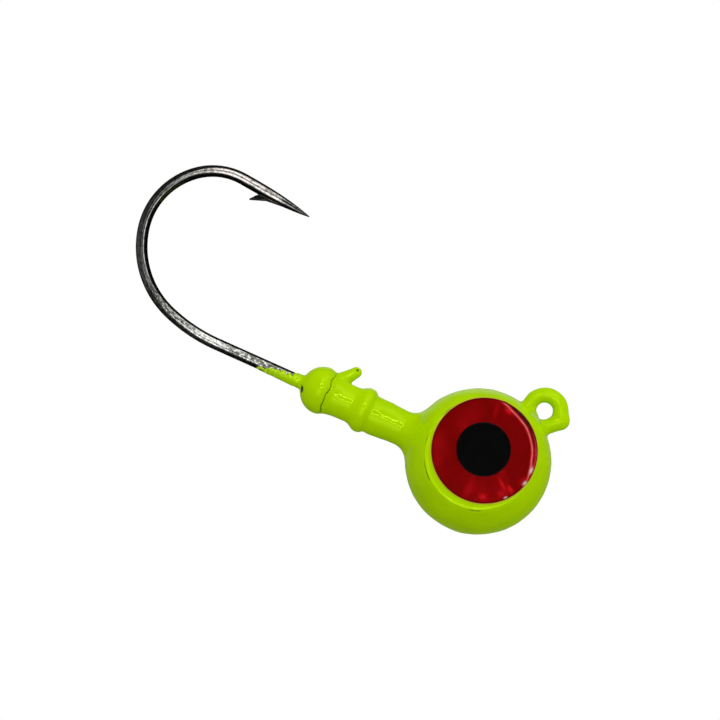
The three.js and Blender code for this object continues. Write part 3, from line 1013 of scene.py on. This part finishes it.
def press_down(x, z, height, side, centre):
    """Places a flat sticker's points, at a height over the cheek, with the overhanging edge bent down."""
    away_x, away_z = x - centre[0], z - centre[1]
    reach, turn = np.hypot(away_x, away_z), np.arctan2(away_z, away_x)
    spots = np.stack([x, np.zeros_like(x), z], 1)
    off = (turn - FOLD_TOWARDS + np.pi) % (2 * np.pi) - np.pi
    fold = STICKER_RADIUS * (FOLD_NEAR + FOLD_RISE * np.minimum((off / FOLD_SPREAD) ** 4, 2))
    fold += 0.03 * waves(spots, 1.1, 31) + 0.015 * waves(spots, 0.5, 32)
    past = np.maximum(reach - fold, 0)
    bent = np.minimum(past, FOLD * FOLD_RADIUS)
    angle = bent / FOLD_RADIUS
    out = FOLD_RADIUS * np.sin(angle) + (past - bent) * np.cos(FOLD)
    down = FOLD_RADIUS * (1 - np.cos(angle)) + (past - bent) * np.sin(FOLD)
    ridge = RIDGE_HEIGHT * bell(reach - fold, 0.08) * (np.abs(off) < 1.1 * FOLD_SPREAD)
    buckle = BUCKLE_HEIGHT * bell(reach - fold - 0.4, 0.3) * waves(spots, 0.9, 33)
    new_reach = np.where(past > 0, fold + out, reach) + height * np.sin(angle)
    depth = CHEEK - down + height * np.cos(angle) + ridge + buckle
    new_x = centre[0] + new_reach * np.cos(turn)
    new_z = centre[1] + new_reach * np.sin(turn)
    if height == 0:
        depth = np.minimum(depth, cheek_depth(np.hypot(new_x, new_z)))
    return np.stack([new_x, side * depth, new_z], 1)


def disc_rings(radius, low, high, steps):
    """Each ring's distance out and height, from the middle of a disc's top to that of its underside."""
    coarse, fine = steps
    shares = np.concatenate([np.linspace(0.1, 0.84, coarse), np.linspace(0.85, 1.0, fine)])
    bevel = BEVEL * (high - low)
    rings = [(share * radius - (share == 1) * bevel, high) for share in shares]
    rings += [(radius, high - bevel), (radius, low)]
    return rings + [(share * radius, low) for share in shares[::-1][1:]]


def sheet_piece(name, centre, radius, layer, side, fold_centre):
    """A thin pressed disc between two heights over the cheek, with a bevelled edge."""
    low, high, over, steps = layer
    angles = np.linspace(0, 2 * np.pi, AROUND, endpoint=False)
    rings = disc_rings(radius + over, low, high, steps)
    verts = []
    for reach, height in rings:
        x = centre[0] + reach * np.cos(angles)
        z = centre[1] + reach * np.sin(angles)
        verts.append(press_down(x, z, height, side, fold_centre))
    middles = [(centre[0], side * (CHEEK + height), centre[1]) for height in (high, low)]
    verts = np.concatenate(verts + [middles])
    top, bottom = len(verts) - 2, len(verts) - 1
    faces = []
    last = (len(rings) - 1) * AROUND
    for i in range(AROUND):
        j = (i + 1) % AROUND
        for a in range(0, last, AROUND):
            b = a + AROUND
            faces.append((a + i, a + j, b + j, b + i))
        faces.append((top, j, i))
        faces.append((bottom, last + i, last + j))
    mesh = bpy.data.meshes.new(name)
    mesh.from_pydata(verts.tolist(), [], faces)
    bm = bmesh.new()
    bm.from_mesh(mesh)
    bmesh.ops.recalc_face_normals(bm, faces=bm.faces)
    bm.to_mesh(mesh)
    bm.free()
    return finish_mesh(name, mesh)


def eye_polar(nodes, position, centre):
    """How far out from an eye's centre, as a share of its radius, and the turn round it."""
    parts = nodes.add("SeparateXYZ", {0: position}).outputs
    middle = (np.array([centre[0], 0, centre[1]]) + BALL) * MM
    across = nodes.math("SUBTRACT", parts[0], float(middle[0]))
    along = nodes.math("SUBTRACT", parts[2], float(middle[2]))
    square = nodes.math("MULTIPLY_ADD", along, along, nodes.times(across, across))
    share = nodes.math("DIVIDE", nodes.math("SQRT", square), STICKER_RADIUS * MM)
    return share, nodes.math("ARCTAN2", along, across)


def lobe(nodes, turn, share, glint):
    """A soft spot at a turn and a distance from the eye's centre."""
    angle, wide, reach, tall, strength = glint
    off = nodes.turn_from(turn, math.radians(angle))
    across = nodes.math("DIVIDE", off, math.radians(wide))
    along = nodes.scaled(share, reach, tall)
    size = nodes.math("MULTIPLY_ADD", along, along, nodes.times(across, across))
    return nodes.times(nodes.fall_off(size), strength)


def fold_line(nodes, turn, share, position):
    """How far past the sticker's fold a point is, as a share of the radius."""
    off = nodes.math("DIVIDE", nodes.turn_from(turn, FOLD_TOWARDS), FOLD_SPREAD)
    rise = nodes.math("POWER", nodes.math("ABSOLUTE", off), 4.0)
    fold = nodes.math("MULTIPLY_ADD", rise, FOLD_RISE, FOLD_NEAR)
    wander = nodes.remap(nodes.noise(position, 900.0, 3.0), 0.3, 0.7, -0.006, 0.006)
    return nodes.math("SUBTRACT", share, nodes.math("ADD", fold, wander))


def foil_colour(nodes, turn, share, past):
    """Deep red with painted glints where the foil is flat, and painted shade where it is bent down."""
    spoke = nodes.add("CombineXYZ", {0: nodes.times(turn, 1.6), 1: share}).outputs[0]
    glow = nodes.remap(nodes.noise(spoke, 2.4, 3.0, 0.5), 0.35, 0.65, -0.05, 0.07)
    for glint in GLINTS:
        glow = nodes.math("ADD", glow, lobe(nodes, turn, share, glint))
    glow = nodes.remap(glow, 0.0, 1.2, 0.0, 1.0)
    flat = nodes.mix(glow, rgb(0.29, 0.0, 0.0), rgb(1.0, 0.008, 0.016))
    # Painted shade on the bent-down edge, lighter towards the right.
    towards_right = nodes.remap(turn, 0.2, 1.0, 1.0, 0.0)
    down = nodes.mix(towards_right, rgb(0.085, 0.0, 0.0), rgb(0.62, 0.0, 0.01))
    return nodes.mix(nodes.remap(past, 0.0, 0.02, 0.0, 1.0), flat, down)


def crease_colour(nodes, colour, turn, share, past, position):
    """Paints the crease's highlight with a bright red band round it, and its flashes, all painted
    highlights. Returns the colour and how much of it they are.
    """
    ends = nodes.remap(share, 0.955, 0.985, 1.0, 0.0)
    patchy = nodes.remap(nodes.noise(position, 1300.0, 2.0), 0.35, 0.6, 0.75, 1.0)
    # A painted highlight along the crease.
    crease_highlight = nodes.fall_off(nodes.math("POWER", nodes.math("DIVIDE", past, CREASE_REACH), 2.0))
    crease_highlight = nodes.times(nodes.times(crease_highlight, ends), patchy)
    skirt = nodes.remap(nodes.math("ABSOLUTE", past), 0.045, 0.01, 0.0, 0.75)
    colour = nodes.mix(nodes.times(skirt, ends), colour, rgb(0.85, 0.01, 0.015))
    colour = nodes.mix(crease_highlight, colour, rgb(1.0, 0.12, 0.13))
    colour = nodes.mix(nodes.remap(crease_highlight, 0.7, 1.0, 0.0, 0.6), colour, rgb(1.0, 0.45, 0.45))
    shine = crease_highlight
    for flash in FLASHES:
        spot = lobe(nodes, turn, share, flash)
        colour = nodes.mix(spot, colour, rgb(1.0, 0.75, 0.72))
        shine = nodes.math("MAXIMUM", shine, spot)
    # A painted highlight along a second, shorter crease.
    second = nodes.times(lobe(nodes, turn, share, SECOND_CREASE), patchy)
    return nodes.mix(second, colour, rgb(0.85, 0.10, 0.10)), shine


def foil_looks(nodes, position, centre):
    share, turn = eye_polar(nodes, position, centre)
    past = fold_line(nodes, turn, share, position)
    colour = foil_colour(nodes, turn, share, past)
    colour, shine = crease_colour(nodes, colour, turn, share, past, position)
    from_right = nodes.math("ABSOLUTE", nodes.math("SUBTRACT", turn, 0.05))
    edge = nodes.remap(share, 0.962, 0.98, 0.0, 0.7)
    edge = nodes.times(edge, nodes.remap(from_right, 0.35, 0.6, 0.2, 1.0))
    return {
        "Base Color": nodes.mix(edge, colour, rgb(0.06, 0.0, 0.0)),
        "Metallic": nodes.remap(shine, 0.0, 1.0, 0.3, 0.0),
        "Roughness": 0.3,
        "Specular IOR Level": 0.15,
        "Specular Tint": rgb(0.9, 0.02, 0.02),
        "Coat Weight": 0.1,
        "Coat Roughness": 0.05,
    }


def glue_looks(nodes, position):
    mottle = nodes.noise(position, 900.0, 3.0)
    colour = nodes.mix(mottle, rgb(0.56, 0.36, 0.01), rgb(0.66, 0.48, 0.02))
    return {"Base Color": colour, "Roughness": 0.5}


def ink_looks(nodes, position):
    mottle = nodes.noise(position, 1500.0, 3.0)
    return {
        "Base Color": nodes.mix(mottle, rgb(0.0006, 0.0006, 0.0006), rgb(0.0016, 0.0016, 0.0016)),
        "Roughness": nodes.remap(mottle, 0.3, 0.7, 0.05, 0.08),
        "Specular IOR Level": 0.1,
    }


def film_looks(nodes, position):
    smear = nodes.noise(position, 700.0, 3.0)
    return {
        "Base Color": rgb(0.004, 0.004, 0.004),
        "Roughness": nodes.remap(smear, 0.3, 0.7, 0.03, 0.07),
        "Specular IOR Level": 0.25,
        "Alpha": 0.1,
    }


def make_eyes():
    glue, ink = material("adhesive", glue_looks), material("pupil_ink", ink_looks)
    clear = material("clear_film", film_looks)
    for side_name, side in (("left", 1), ("right", -1)):
        centre = disc_centre("iris_foil_" + side_name)
        pupil = disc_centre("pupil_ink_" + side_name)
        foil = material("iris_foil", foil_looks, centre)
        plan = (
            ("eye_adhesive", "adhesive", centre, STICKER_RADIUS, glue),
            ("iris_foil", "iris_foil", centre, STICKER_RADIUS, foil),
            ("pupil_ink", "pupil_ink", pupil, PUPIL_RADIUS, ink),
            ("clear_film", "clear_film", centre, STICKER_RADIUS, clear),
        )
        for node, slot, middle, radius, finish in plan:
            name = f"{node}_{side_name}"
            piece = sheet_piece(name + "_piece", middle, radius, LAYERS[slot], side, centre)
            piece.data.materials.append(finish)
            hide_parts(name)
            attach(piece, "root")


# ---- the lead casting


def lead_field(points):
    """The casting: the head's shape under its paint, with the same pit."""
    return round_max(head_field(points) + PAINT, -missed(points), PIT_ROUND)


def lead_looks(nodes, position):
    grain = nodes.noise(position, 1800.0, 5.0, 0.6)
    return {
        "Base Color": nodes.mix(grain, rgb(0.16, 0.165, 0.18), rgb(0.34, 0.345, 0.36)),
        "Metallic": 0.9,
        "Roughness": nodes.remap(grain, 0.3, 0.7, 0.45, 0.7),
        "Normal": nodes.bump(grain, 0.3, 0.0001),
    }


def make_lead():
    lead = shaped("lead_casting", lead_field, (-24.0, -6.1, -9.1), (9.1, 6.1, 9.1), LEAD_STEP)
    lead.data.materials.append(material("cast_lead", lead_looks))
    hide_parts("lead_head")
    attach(lead, "root")


# ---- the scene

scene = bpy.context.scene
scene.view_settings.view_transform = "Standard"

make_camera()
make_world()
make_floor()
make_lead()
make_lamp(make_paint())
make_hook()
make_eyes()
